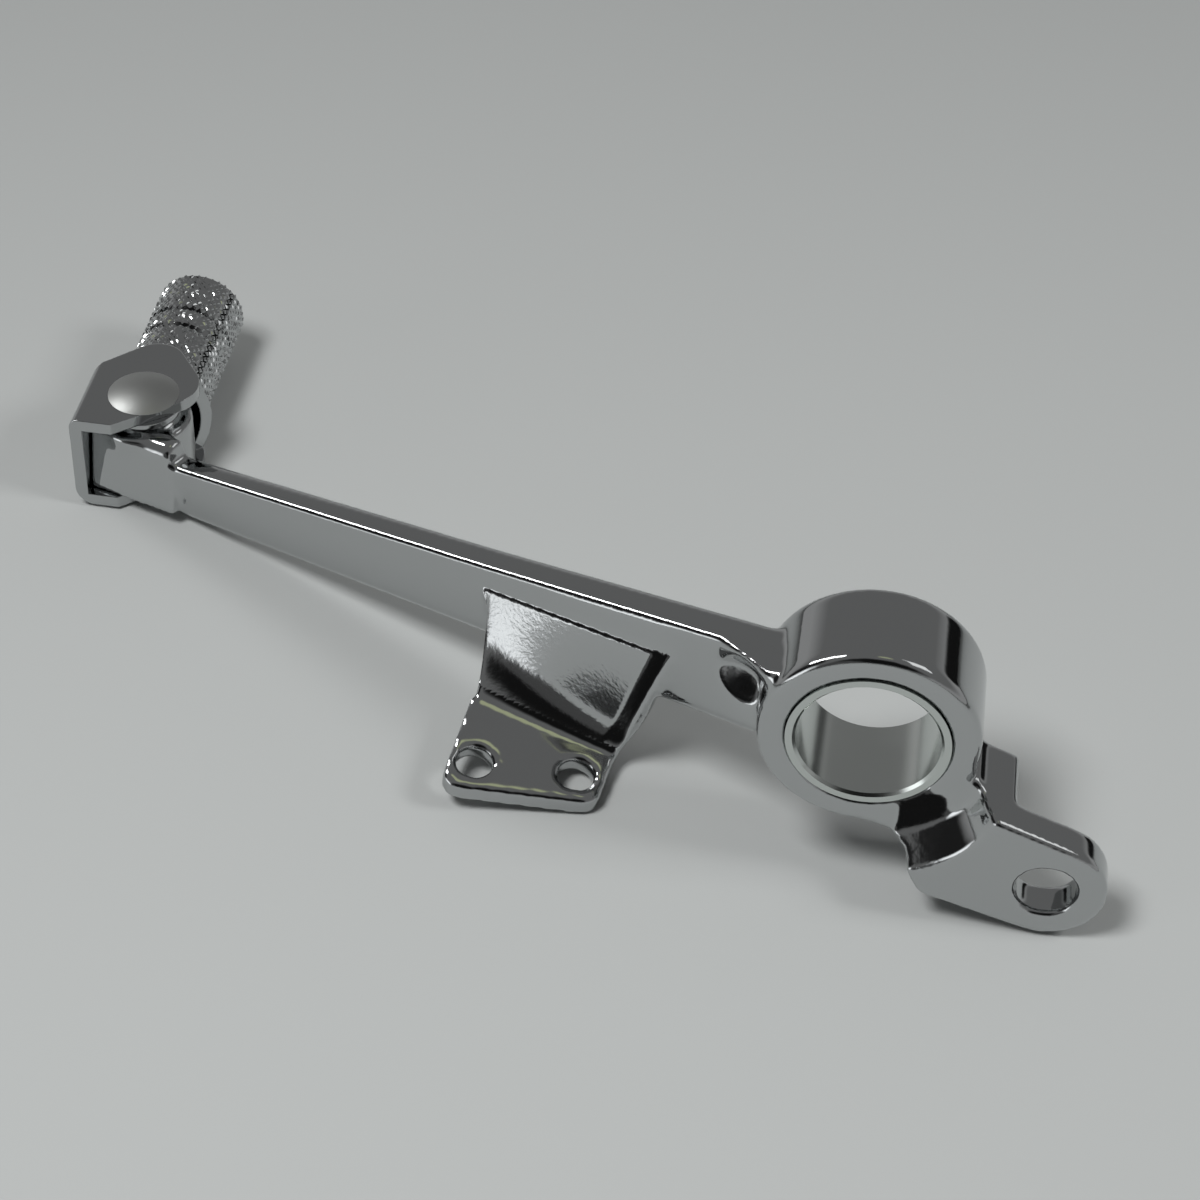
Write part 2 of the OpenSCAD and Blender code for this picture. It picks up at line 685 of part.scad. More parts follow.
// Coil of the return spring round the rivet, in the pocket of the arm's eye
module return_spring() color(steel_col) {
    sides = 8;
    steps = spring_turns * 20;
    points = [
        for (i = [0 : steps]) for (k = [0 : sides - 1])
            let (a = i / steps * spring_turns * 360, b = k / sides * 360, c = coil_point(a))
                [
                    (spring_r + wire_d / 2 * cos(b)) * cos(a),
                    (spring_r + wire_d / 2 * cos(b)) * sin(a),
                    c[2] + wire_d / 2 * sin(b)
                ]
    ];
    walls = [
        for (i = [0 : steps - 1]) for (k = [0 : sides - 1])
            let (a = i * sides + k, b = i * sides + (k + 1) % sides)
                each [[a, b, a + sides], [b, b + sides, a + sides]]
    ];
    first = [for (k = [sides - 1 : -1 : 0]) k];
    last = [for (k = [0 : sides - 1]) steps * sides + k];
    translate([hinge[0], hinge[1], ear_low + bracket_t]) {
        polyhedron(points = points, faces = concat([first], walls, [last]));
        translate([spring_r, 0, -spring_foot]) cylinder(d = wire_d, h = spring_foot + wire_d / 2, $fn = 24);
        translate([spring_r - 0.1, 0, spring_h - wire_d / 2])
            rotate([0, 90, 0]) cylinder(d = wire_d, h = spring_leg + wire_d / 2, $fn = 24);
    }
}

pedal_arm();
pivot_bush();
toe_bracket();
toe_peg();
hinge_rivet();
hinge_washer();
return_spring();
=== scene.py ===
import json
import math

import bpy
from bpy.props import FloatProperty, FloatVectorProperty, IntProperty, PointerProperty
from bpy.types import Operator, Panel, PropertyGroup
from mathutils import Matrix, Vector


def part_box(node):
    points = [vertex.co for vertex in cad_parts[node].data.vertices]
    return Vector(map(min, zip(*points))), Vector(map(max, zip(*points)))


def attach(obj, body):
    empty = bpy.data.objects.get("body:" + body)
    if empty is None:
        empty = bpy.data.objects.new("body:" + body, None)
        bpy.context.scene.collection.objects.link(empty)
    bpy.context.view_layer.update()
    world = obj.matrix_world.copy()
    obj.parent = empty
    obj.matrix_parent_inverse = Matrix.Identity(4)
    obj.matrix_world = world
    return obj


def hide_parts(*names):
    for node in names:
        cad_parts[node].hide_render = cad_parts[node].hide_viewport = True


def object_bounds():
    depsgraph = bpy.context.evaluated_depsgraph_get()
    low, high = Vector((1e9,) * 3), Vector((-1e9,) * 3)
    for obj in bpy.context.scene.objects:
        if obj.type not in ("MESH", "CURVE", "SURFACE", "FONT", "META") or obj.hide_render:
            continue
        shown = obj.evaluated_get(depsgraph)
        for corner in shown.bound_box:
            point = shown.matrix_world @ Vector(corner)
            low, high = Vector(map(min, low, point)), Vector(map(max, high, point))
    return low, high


bl_info = {
    "name": "Rear brake pedal",
    "version": (1, 0, 0),
    "blender": (4, 5, 0),
    "location": "View3D > Sidebar > Brake pedal",
    "description": "Plated finish, soft cast edges, knurled toe peg and studio for a rear brake pedal",
    "category": "Object",
}

MM = 0.001
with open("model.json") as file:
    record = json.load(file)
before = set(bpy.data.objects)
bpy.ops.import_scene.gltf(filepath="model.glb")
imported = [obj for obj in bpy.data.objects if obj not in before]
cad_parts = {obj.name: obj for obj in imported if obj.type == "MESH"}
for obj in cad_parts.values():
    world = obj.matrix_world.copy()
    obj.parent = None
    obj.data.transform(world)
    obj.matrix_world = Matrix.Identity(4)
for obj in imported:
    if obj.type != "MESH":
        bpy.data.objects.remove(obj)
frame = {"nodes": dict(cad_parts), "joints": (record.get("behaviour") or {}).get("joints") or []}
cad_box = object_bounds()
FLOOR_Z = cad_box[0][2]


# Settings

class FinishSettings(PropertyGroup):
    """Colours and surfaces of the metals."""

    chrome_tint: FloatVectorProperty(
        name="Chrome tint", description="Reflected colour of the plating",
        subtype="COLOR", size=3, min=0, max=1, default=(0.47, 0.482, 0.485))
    chrome_rough: FloatProperty(
        name="Chrome roughness", description="Roughness of the bright plating",
        default=0.05, min=0, max=1, subtype="FACTOR")
    cast_rough: FloatProperty(
        name="Cast roughness", description="Roughness of the plating over the rough cast skin",
        default=0.2, min=0, max=1, subtype="FACTOR")
    cast_ripple: FloatProperty(
        name="Cast ripple", description="Height of the waves left under the plating by polishing",
        default=0.02 * MM, min=0, unit="LENGTH")
    peel: FloatProperty(
        name="Flag texture", description="Height of the rough cast skin on the flag plate",
        default=0.075 * MM, min=0, unit="LENGTH")
    rivet_tint: FloatVectorProperty(
        name="Rivet tint", description="Reflected colour of the hinge rivet's head",
        subtype="COLOR", size=3, min=0, max=1, default=(0.44, 0.45, 0.44))
    rivet_rough: FloatProperty(
        name="Rivet roughness", description="Roughness of the hinge rivet's head",
        default=0.42, min=0, max=1, subtype="FACTOR")
    spring_tint: FloatVectorProperty(
        name="Spring tint", description="Reflected colour of the return spring's wire",
        subtype="COLOR", size=3, min=0, max=1, default=(0.35, 0.35, 0.35))
    spring_rough: FloatProperty(
        name="Spring roughness", description="Roughness of the return spring's wire",
        default=0.3, min=0, max=1, subtype="FACTOR")
    bush_tint: FloatVectorProperty(
        name="Bush tint", description="Reflected colour of the turned bush",
        subtype="COLOR", size=3, min=0, max=1, default=(0.61, 0.64, 0.62))
    bush_rough: FloatProperty(
        name="Bush roughness", description="Roughness of the turned bush",
        default=0.2, min=0, max=1, subtype="FACTOR")


class FormSettings(PropertyGroup):
    """How soft the cast and pressed edges are."""

    cast_voxel: FloatProperty(
        name="Casting grid", description="Mesh size of the softened casting",
        default=0.4 * MM, min=0.1 * MM, unit="LENGTH")
    cast_passes: IntProperty(
        name="Casting softness", description="Smoothing passes over the casting",
        default=20, min=0, max=60)
    cast_edge: FloatProperty(
        name="Cast edge", description="Extra rounding in the look of the casting's edges",
        default=0.55 * MM, min=0, unit="LENGTH")
    press_bevel: FloatProperty(
        name="Pressed edge", description="Rounding in the look of the pressed bracket's edges",
        default=0.3 * MM, min=0, unit="LENGTH")


class KnurlSettings(PropertyGroup):
    """The diamond knurl on the toe peg."""

    around: IntProperty(
        name="Diamonds around", description="Diamonds in one ring", default=38, min=8)
    row_step: FloatProperty(
        name="Row step", description="Distance between two rings",
        default=0.75 * MM, min=0.1 * MM, unit="LENGTH")
    height: FloatProperty(
        name="Height", description="Height of a diamond", default=0.24 * MM, min=0, unit="LENGTH")
    first: FloatProperty(
        name="First ring", description="Distance of the first ring from the toe hinge",
        default=10.6 * MM, unit="LENGTH")
    last: FloatProperty(
        name="Last ring", description="Distance of the last ring from the toe hinge",
        default=34.6 * MM, unit="LENGTH")
    grooves: FloatVectorProperty(
        name="Grooves", description="Distances of the turned grooves from the toe hinge", size=2,
        default=(20.8 * MM, 25.7 * MM), unit="LENGTH")
    wobble: FloatProperty(
        name="Wobble", description="How much each diamond leans out of line",
        default=0.2, min=0, unit="ROTATION")


class StageSettings(PropertyGroup):
    """Floor, lights and camera."""

    floor_color: FloatVectorProperty(
        name="Floor", description="Colour of the floor",
        subtype="COLOR", size=3, min=0, max=1, default=(0.435, 0.449, 0.445))
    walls: FloatProperty(
        name="Walls", description="Brightness of the room's walls", default=0.38, min=0)
    ceiling: FloatProperty(
        name="Ceiling", description="Brightness of the room's ceiling", default=0.19, min=0)
    left_power: FloatProperty(
        name="Left lamp", description="Power of the lamp that the metal mirrors on the left",
        default=3.5, unit="POWER")
    right_power: FloatProperty(
        name="Right lamp", description="Power of the lamp that the metal mirrors on the right",
        default=0.7, unit="POWER")
    key_power: FloatProperty(
        name="Key light", description="Power of the soft light from the front left",
        default=4.1, unit="POWER")
    fill_power: FloatProperty(
        name="Fill light", description="Power of the soft light from the right",
        default=1.8, unit="POWER")
    azimuth: FloatProperty(
        name="Azimuth", description="Camera's turn from straight ahead",
        default=math.radians(-6.52), unit="ROTATION")
    elevation: FloatProperty(
        name="Elevation", description="Camera's look down",
        default=math.radians(41.89), unit="ROTATION")
    roll: FloatProperty(
        name="Roll", description="Camera's roll", default=math.radians(2.85), unit="ROTATION")
    place: FloatVectorProperty(
        name="Camera place", description="Camera's place in the pedal's frame", size=3,
        default=(-6.74 * MM, -277.47 * MM, 264.06 * MM), unit="LENGTH")
    lens: FloatProperty(
        name="Lens", description="Focal length in millimetres", default=82.8, min=1)


SETTINGS = (
    ("pedal_finish", FinishSettings),
    ("pedal_form", FormSettings),
    ("pedal_knurl", KnurlSettings),
    ("pedal_stage", StageSettings),
)


# Metals: scale and detail of each noise, depth of the turning marks, and rays of the rounded look
RIPPLES = (110.0, 1.0)
ROUGH_SKIN = (1300.0, 3.0)
TURNING_MARKS = (600.0, 2.0)
TURNING_DEPTH = 0.004 * MM
BEVEL_RAYS = 8

# Share of the way to its neighbours that a smoothing pass moves a point
SMOOTHING = 0.5

# The arm's frame: the toe's hinge, the way from it to the pivot, the way inboard, and the arm's length
TOE = Vector((-121.0, 62.0)) * MM
ARM_WAY = Vector((0.88161, -0.47198))
ARM_INBOARD = Vector((-0.47198, -0.88161))
ARM_LENGTH = 135.94 * MM

# Middle of the flag plate's foot and the way up from it
FOOT_AT = Vector((-48.405, 2.49, -23.0)) * MM
FOOT_UP = Vector((0.14514, -0.1132, 0.98291))

# Places on the casting are in mm: ahead of the pivot along the arm, inboard across it and above the foot.
# A span holds where a mark starts and where it is full, or where it starts to fade and is gone.
ARM_FACE = 5.0
FLAG_AHEAD = (24.0, 66.0)
FOOT_SKIN = 0.7
WEB_FOOT = 0.2

# Hollow beside the boss: middle, radii, rim as a share of the radii, and how far inboard it lies
HOLLOW = (17.2, 27.0)
HOLLOW_RADII = (3.6, 3.0)
HOLLOW_RIM = (0.75, 1.1)
HOLLOW_INBOARD = (3.5, 5.6)

# Notch over the lug, in mm in the pedal's own X, Y and Z
NOTCH_STARTS_X = (4.5, 6.5)
NOTCH_ENDS_X = (10.5, 13.5)
NOTCH_SIDE_Y = -6.0
NOTCH_LEAN_Y = (-7.8, -7.2)
NOTCH_TOP_Z = (-9.5, -6.5)
NOTCH_BOTTOM_Z = -17.5

# Edges of the flag's web: place, and slant with the height or, for the top, with the distance ahead
WEB_FRONT = (57.4, 0.4)
WEB_REAR = (37.2, -0.31)
WEB_TOP = (33.1, -0.345)

# Spans on the web: rough skin, pale upper front, dark bend, rounded edges, and the face between those
SKIN_SIDE = (-0.5, 0.5)
SKIN_TOP = (-0.4, 0.4)
PALE_AHEAD = (38.0, 58.0)
PALE_ABOVE = (3.5, 7.5)
BEND_STARTS = (0.7, 1.6)
BEND_ENDS = (3.0, 7.0)
EDGE_REAR = (0.7, 1.8)
EDGE_TOP = (0.1, 0.45)
EDGE_FRONT = (0.1, 0.5)
CORNER_FRONT = (-0.3, 0.3)
CORNER_REAR = (-0.9, -0.3)
FACE_FRONT = (-0.6, 0.0)
FACE_REAR = (-1.9, -1.2)

# Strip of the arm's face over the web
STRIP_LOW = -0.5
STRIP_STARTS = (26.0, 32.0)
STRIP_ENDS = (42.0, 56.0)

# How much of the rough skin shows, from 0 to 1
PLAIN = 0.04
DULL = 0.6
WEB_SKIN = 0.55
PALE_SKIN = 0.4
BEND_POLISH = 0.5

# How the finish leans the surface: web's pale front, middle, bend and edges, arm's strip, notch and foot
LEAN_PALE = Vector((-0.02, 0.0, 0.2))
LEAN_MIDDLE = Vector((0.0, 0.0, 0.11))
LEAN_BEND = Vector((0.12, -0.05, 0.34))
LEAN_EDGE = Vector((0.45, 0.05, 0.5))
LEAN_STRIP = Vector((0.0, 0.0, 0.14))
LEAN_NOTCH = Vector((0.0, 0.0, 0.75))
LEAN_FOOT = Vector((0.0, -0.15, 0.0))

# Knurl: corners of a diamond, its flat top and how deep it sits as shares, clearing of a groove, and the seed
DIAMOND_CORNERS = 4
DIAMOND_TOP = 0.4
DIAMOND_SUNK = 0.55
GROOVE_CLEAR = 0.6
KNURL_SEED = 7
PEG_SHARP_ANGLE = math.radians(30)

# Floor: half its width in metres, and its roughness and shine
FLOOR_HALF = 4.0
FLOOR_ROUGH = 0.9
FLOOR_SHINE = 0.1

# Lamps: name, direction, distance and size in metres, power setting, and what the lamp is hidden from
LAMPS = (
    ("left_lamp", (-0.66, 0.22, 0.71), 1.2, (0.15, 0.65), "left_power", "visible_diffuse"),
    ("right_lamp", (0.58, 0.2, 0.8), 1.2, (0.5, 0.4), "right_power", "visible_diffuse"),
    ("key_light", (-0.32, -0.38, 0.86), 0.75, (0.2, 0.2), "key_power", "visible_glossy"),
    ("fill_light", (0.7, -0.1, 0.7), 0.75, (0.2, 0.2), "fill_power", "visible_glossy"),
)
LAMPS_AIM = Vector((-0.02, 0.04, FLOOR_Z))

# Room: heights, as a sine, where the walls end and the ceiling starts
WALLS_END = 0.15
CEILING_STARTS = 0.34

# Bright and dark parts of the room: direction, half angles in degrees where full and where gone, colour
PATCHES = (
    ((0.0, -0.87, 0.5), 22, 38, (0.01, 0.01, 0.01)),
    ((-0.45, -0.88, 0.15), 14, 22, (0.09, 0.09, 0.09)),
    ((-0.86, -0.5, 0.08), 10, 24, (1.75, 1.78, 1.8)),
    ((-0.9, -0.1, 0.4), 15, 26, (0.02, 0.02, 0.02)),
    ((0.09, 0.1, 0.99), 4, 7, (0.56, 0.59, 0.38)),
    ((0.66, 0.74, 0.08), 5, 9, (0.01, 0.01, 0.01)),
)

# Camera: width of its sensor in millimetres, and the nearest and farthest that it sees in metres
SENSOR_WIDTH = 36
CLIP = (0.01, 20)


# Helpers

def scene():
    return bpy.context.scene


def link(obj):
    scene().collection.objects.link(obj)
    return obj


def shader(name):
    """New material with its node tree and its Principled shader."""
    mat = bpy.data.materials.new(name)
    mat.use_nodes = True
    tree = mat.node_tree
    bsdf = next(n for n in tree.nodes if n.type == "BSDF_PRINCIPLED")
    return mat, tree, bsdf


def metal(name, tint, rough):
    """New metal with its node tree, its shader and the coordinates that its patterns use."""
    mat, tree, bsdf = shader(name)
    bsdf.inputs["Metallic"].default_value = 1.0
    bsdf.inputs["Base Color"].default_value = (*tint, 1)
    bsdf.inputs["Roughness"].default_value = rough
    where = tree.nodes.new("ShaderNodeTexCoord").outputs["Object"]
    return mat, tree, bsdf, where


def noise(tree, where, pattern):
    """Noise whose scale and detail the pattern gives."""
    node = tree.nodes.new("ShaderNodeTexNoise")
    node.inputs["Scale"].default_value, node.inputs["Detail"].default_value = pattern
    tree.links.new(where, node.inputs["Vector"])
    return node.outputs["Fac"]


def bump(tree, height, distance, below=None):
    """Normal of a surface that a pattern raises by a distance, over another normal if one is given."""
    node = tree.nodes.new("ShaderNodeBump")
    node.inputs["Distance"].default_value = distance
    node.inputs["Strength"].default_value = 1.0
    tree.links.new(height, node.inputs["Height"])
    if below is not None:
        tree.links.new(below, node.inputs["Normal"])
    return node.outputs["Normal"]


def point_value(tree, name):
    """Node that reads one of the casting's point attributes."""
    node = tree.nodes.new("ShaderNodeAttribute")
    node.attribute_name = name
    return node


def rounded(tree, radius):
    """Normal of a surface whose edges look rounded."""
    node = tree.nodes.new("ShaderNodeBevel")
    node.samples = BEVEL_RAYS
    node.inputs["Radius"].default_value = radius
    return node.outputs["Normal"]


def rough_skin(tree, bsdf, where, normal):
    """Roughens and dulls the plating where the attribute cast says so, and leans it as lean says."""
    fin = scene().pedal_finish
    mask = point_value(tree, "cast")
    height = tree.nodes.new("ShaderNodeMath")
    height.operation = "MULTIPLY"
    tree.links.new(noise(tree, where, ROUGH_SKIN), height.inputs[0])
    tree.links.new(mask.outputs["Fac"], height.inputs[1])
    normal = bump(tree, height.outputs[0], fin.peel, normal)
    dull = tree.nodes.new("ShaderNodeMapRange")
    dull.inputs["To Min"].default_value = fin.chrome_rough
    dull.inputs["To Max"].default_value = fin.cast_rough
    tree.links.new(mask.outputs["Fac"], dull.inputs["Value"])
    tree.links.new(dull.outputs["Result"], bsdf.inputs["Roughness"])
    add = tree.nodes.new("ShaderNodeVectorMath")
    tree.links.new(normal, add.inputs[0])
    tree.links.new(point_value(tree, "lean").outputs["Vector"], add.inputs[1])
    unit = tree.nodes.new("ShaderNodeVectorMath")
    unit.operation = "NORMALIZE"
    tree.links.new(add.outputs[0], unit.inputs[0])
    return unit.outputs[0]


def chrome(name, edge=0.0, cast=False):
    """Bright plating over slightly wavy metal, with rounded edges and a rough cast skin where asked."""
    fin = scene().pedal_finish
    mat, tree, bsdf, where = metal(name, fin.chrome_tint, fin.chrome_rough)
    normal = rounded(tree, edge) if edge else None
    normal = bump(tree, noise(tree, where, RIPPLES), fin.cast_ripple, normal)
    if cast:
        normal = rough_skin(tree, bsdf, where, normal)
    tree.links.new(normal, bsdf.inputs["Normal"])
    return mat


def satin(name, tint, rough):
    """Turned or drawn steel with fine marks."""
    mat, tree, bsdf, where = metal(name, tint, rough)
    normal = bump(tree, noise(tree, where, TURNING_MARKS), TURNING_DEPTH)
    tree.links.new(normal, bsdf.inputs["Normal"])
    return mat


def paint(obj, mat):
    """Puts one material on an object, through its slots."""
    if not obj.material_slots:
        obj.data.materials.append(mat)
    for slot in obj.material_slots:
        slot.material = mat


def evaluated_mesh(obj):
    """Mesh of an object with its modifiers applied."""
    deps = bpy.context.evaluated_depsgraph_get()
    return bpy.data.meshes.new_from_object(obj.evaluated_get(deps))


def softened(node, name, voxel, passes):
    """Copy of a CAD node as one fine mesh with all its edges and inner corners rounded."""
    obj = link(bpy.data.objects.new(name, frame["nodes"][node].data.copy()))
    grid = obj.modifiers.new("grid", "REMESH")
    grid.mode = "VOXEL"
    grid.voxel_size = voxel
    soft = obj.modifiers.new("soft", "SMOOTH")
    soft.factor = SMOOTHING
    soft.iterations = passes
    mesh = evaluated_mesh(obj)
    obj.modifiers.clear()
    old = obj.data
    obj.data = mesh
    bpy.data.meshes.remove(old)
    mesh.polygons.foreach_set("use_smooth", [True] * len(mesh.polygons))
    return obj


def rise(value, span):
    """0 before a span, 1 after it and a smooth step between them."""
    start, end = span
    t = min(max((value - start) / (end - start), 0.0), 1.0)
    return t * t * (3 - 2 * t)


def fall(value, span):
    """1 before a span, 0 after it and a smooth step between them."""
    return 1 - rise(value, span)


def within(value, limits):
    """Whether a value lies between two limits."""
    return limits[0] < value < limits[1]


def hollow_at(ahead, inboard, above):
    """How much a place lies in the hollow beside the boss, from 0 to 1."""
    if not within(inboard, HOLLOW_INBOARD):
        return 0.0
    along, up = HOLLOW_RADII
    return fall(math.hypot((ahead - HOLLOW[0]) / along, (above - HOLLOW[1]) / up), HOLLOW_RIM)


def notch_at(at):
    """How much a place, in mm, lies in the notch over the lug, from 0 to 1."""
    if at.z <= NOTCH_BOTTOM_Z or at.y >= NOTCH_SIDE_Y:
        return 0.0
    return rise(at.x, NOTCH_STARTS_X) * fall(at.x, NOTCH_ENDS_X) * fall(at.z, NOTCH_TOP_Z)


def web_skin(ahead, above):
    """Skin and lean of the flag's web and of the strip over it."""
    front = WEB_FRONT[0] + WEB_FRONT[1] * above - ahead
    rear = ahead - WEB_REAR[0] - WEB_REAR[1] * above
    top = WEB_TOP[0] + WEB_TOP[1] * ahead - above
    if top < STRIP_LOW:
        return PLAIN, LEAN_STRIP * (rise(ahead, STRIP_STARTS) * fall(ahead, STRIP_ENDS))
    inside = rise(front, SKIN_SIDE) * rise(rear, SKIN_SIDE) * rise(top, SKIN_TOP)
    pale = rise(ahead, PALE_AHEAD) * rise(above, PALE_ABOVE)
    bend = rise(above, BEND_STARTS) * fall(above, BEND_ENDS)
    edge = max(
        fall(abs(rear), EDGE_REAR),
        fall(abs(top), EDGE_TOP) * rise(front, CORNER_FRONT) * rise(rear, CORNER_REAR),
        fall(abs(front), EDGE_FRONT) * rise(top, CORNER_FRONT),
    )
    face = (1 - edge) * rise(front, FACE_FRONT) * rise(rear, FACE_REAR)
    lean = (LEAN_PALE * pale + LEAN_MIDDLE * (1 - pale) * (1 - bend) + LEAN_BEND * bend) * face
    skin = PLAIN + inside * (WEB_SKIN + PALE_SKIN * pale) * (1 - BEND_POLISH * bend)
    return skin, lean + LEAN_EDGE * edge


def cast_skin(place):
    """How much rough skin shows at a point of the casting, and how its surface leans there."""
    from_toe = place.xy - TOE
    ahead = (ARM_LENGTH - from_toe.dot(ARM_WAY)) / MM
    inboard = from_toe.dot(ARM_INBOARD) / MM
    above = (place - FOOT_AT).dot(FOOT_UP) / MM
    hollow = hollow_at(ahead, inboard, above)
    if hollow > 0:
        return PLAIN + DULL * hollow, LEAN_EDGE * hollow
    at = place / MM
    notch = notch_at(at)
    if notch > 0:
        return PLAIN + DULL * notch, LEAN_NOTCH * (notch * rise(at.y, NOTCH_LEAN_Y))
    if not within(ahead, FLAG_AHEAD) or inboard < ARM_FACE:
        return PLAIN, Vector()
    if abs(above) < FOOT_SKIN:
        return PLAIN, LEAN_FOOT
    if above < WEB_FOOT:
        return PLAIN, Vector()
    return web_skin(ahead, above)


# Pieces

class OBJECT_OT_pedal_casting(Operator):
    """Adds the plated casting with soft cast edges and a rough skin on its flag plate"""

    bl_idname = "object.pedal_casting"
    bl_label = "Casting"

    def execute(self, context):
        form = context.scene.pedal_form
        obj = softened("pedal_arm", "casting", form.cast_voxel, form.cast_passes)
        cast = obj.data.attributes.new("cast", "FLOAT", "POINT")
        lean = obj.data.attributes.new("lean", "FLOAT_VECTOR", "POINT")
        for point, skin, way in zip(obj.data.vertices, cast.data, lean.data):
            skin.value, way.vector = cast_skin(point.co)
        paint(obj, chrome("plating_cast", form.cast_edge, cast=True))
        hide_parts("pedal_arm")
        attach(obj, "pedal")
        return {"FINISHED"}


class OBJECT_OT_pedal_bush(Operator):
    """Gives the pressed-in bush its turned finish"""

    bl_idname = "object.pedal_bush"
    bl_label = "Bush"

    def execute(self, context):
        fin = context.scene.pedal_finish
        paint(frame["nodes"]["pivot_bush"], satin("turned_steel", fin.bush_tint, fin.bush_rough))
        return {"FINISHED"}


class OBJECT_OT_pedal_bracket(Operator):
    """Gives the folding toe's bracket, rivet, washer and spring their finish"""

    bl_idname = "object.pedal_bracket"
    bl_label = "Toe bracket and hinge"

    def execute(self, context):
        form, fin = context.scene.pedal_form, context.scene.pedal_finish
        nodes = frame["nodes"]
        plate = chrome("plating_pressed", form.press_bevel)
        for node in ("toe_bracket", "hinge_washer"):
            paint(nodes[node], plate)
        paint(nodes["hinge_rivet"], satin("rivet_steel", fin.rivet_tint, fin.rivet_rough))
        paint(nodes["return_spring"], satin("spring_wire", fin.spring_tint, fin.spring_rough))
        return {"FINISHED"}


KNURL_INPUTS = (
    ("Around", "NodeSocketInt"),
    ("Rings", "NodeSocketInt"),
    ("Radius", "NodeSocketFloat"),
    ("Step", "NodeSocketFloat"),
    ("Height", "NodeSocketFloat"),
    ("Groove A", "NodeSocketFloat"),
    ("Groove B", "NodeSocketFloat"),
    ("Groove Width", "NodeSocketFloat"),
    ("Wobble", "NodeSocketFloat"),
    ("Centre", "NodeSocketVector"),
    ("Material", "NodeSocketMaterial"),
)


def knurl_tree():
    """Geometry Nodes group that sets rings of diamonds on a cylinder about Y, apart from two grooves."""
    tree = bpy.data.node_groups.new("knurl", "GeometryNodeTree")
    tree.interface.new_socket("Geometry", in_out="INPUT", socket_type="NodeSocketGeometry")
    for name, kind in KNURL_INPUTS:
        tree.interface.new_socket(name, in_out="INPUT", socket_type=kind)
    tree.interface.new_socket("Geometry", in_out="OUTPUT", socket_type="NodeSocketGeometry")
    new, join = tree.nodes.new, tree.links.new
    given = new("NodeGroupInput").outputs

    def calc(operation, *values):
        node = new("ShaderNodeMath")
        node.operation = operation
        for socket, value in zip(node.inputs, values):
            if isinstance(value, (int, float)):
                socket.default_value = value
            else:
                join(value, socket)
        return node.outputs[0]

    def vector(x, y, z):
        node = new("ShaderNodeCombineXYZ")
        for socket, value in zip(node.inputs, (x, y, z)):
            if value is not None:
                join(value, socket)
        return node.outputs[0]

    def total(a, b):
        node = new("ShaderNodeVectorMath")
        join(a, node.inputs[0])
        join(b, node.inputs[1])
        return node.outputs[0]

    line = new("GeometryNodeMeshLine")
    join(calc("MULTIPLY", given["Around"], given["Rings"]), line.inputs["Count"])
    index = new("GeometryNodeInputIndex").outputs[0]
    ring = calc("FLOOR", calc("DIVIDE", calc("ADD", index, 0.5), given["Around"]))
    along = calc("MULTIPLY", ring, given["Step"])
    # Every other ring is turned by half a diamond
    half = calc("MULTIPLY", calc("MODULO", ring, 2), 0.5)
    turn = calc("DIVIDE", calc("MULTIPLY", calc("ADD", index, half), math.tau), given["Around"])
    spot = vector(
        calc("MULTIPLY", calc("SINE", turn), given["Radius"]),
        along,
        calc("MULTIPLY", calc("COSINE", turn), given["Radius"]),
    )
    put = new("GeometryNodeSetPosition")
    join(line.outputs[0], put.inputs["Geometry"])
    join(total(spot, given["Centre"]), put.inputs["Position"])

    diamond = new("GeometryNodeMeshCone")
    diamond.inputs["Vertices"].default_value = DIAMOND_CORNERS
    diamond.inputs["Radius Top"].default_value = DIAMOND_TOP
    diamond.inputs["Radius Bottom"].default_value = 1.0
    diamond.inputs["Depth"].default_value = 1.0
    stray = new("FunctionNodeRandomValue")
    stray.data_type = "FLOAT_VECTOR"
    stray.inputs["Min"].default_value = (-1, -1, -1)
    stray.inputs["Seed"].default_value = KNURL_SEED
    tilt = new("ShaderNodeVectorMath")
    tilt.operation = "SCALE"
    join(stray.outputs["Value"], tilt.inputs[0])
    join(given["Wobble"], tilt.inputs["Scale"])
    width = calc("DIVIDE", calc("MULTIPLY", given["Radius"], math.pi), given["Around"])
    clear = calc("MULTIPLY", *(
        calc("GREATER_THAN", calc("ABSOLUTE", calc("SUBTRACT", along, given[groove])), given["Groove Width"])
        for groove in ("Groove A", "Groove B")))

    place = new("GeometryNodeInstanceOnPoints")
    join(put.outputs[0], place.inputs["Points"])
    join(diamond.outputs["Mesh"], place.inputs["Instance"])
    join(total(vector(None, turn, None), tilt.outputs[0]), place.inputs["Rotation"])
    join(clear, place.inputs["Selection"])
    join(vector(width, given["Step"], given["Height"]), place.inputs["Scale"])
    real = new("GeometryNodeRealizeInstances")
    join(place.outputs[0], real.inputs[0])
    dress = new("GeometryNodeSetMaterial")
    join(real.outputs[0], dress.inputs["Geometry"])
    join(given["Material"], dress.inputs["Material"])
    join(dress.outputs[0], new("NodeGroupOutput").inputs[0])
    return tree


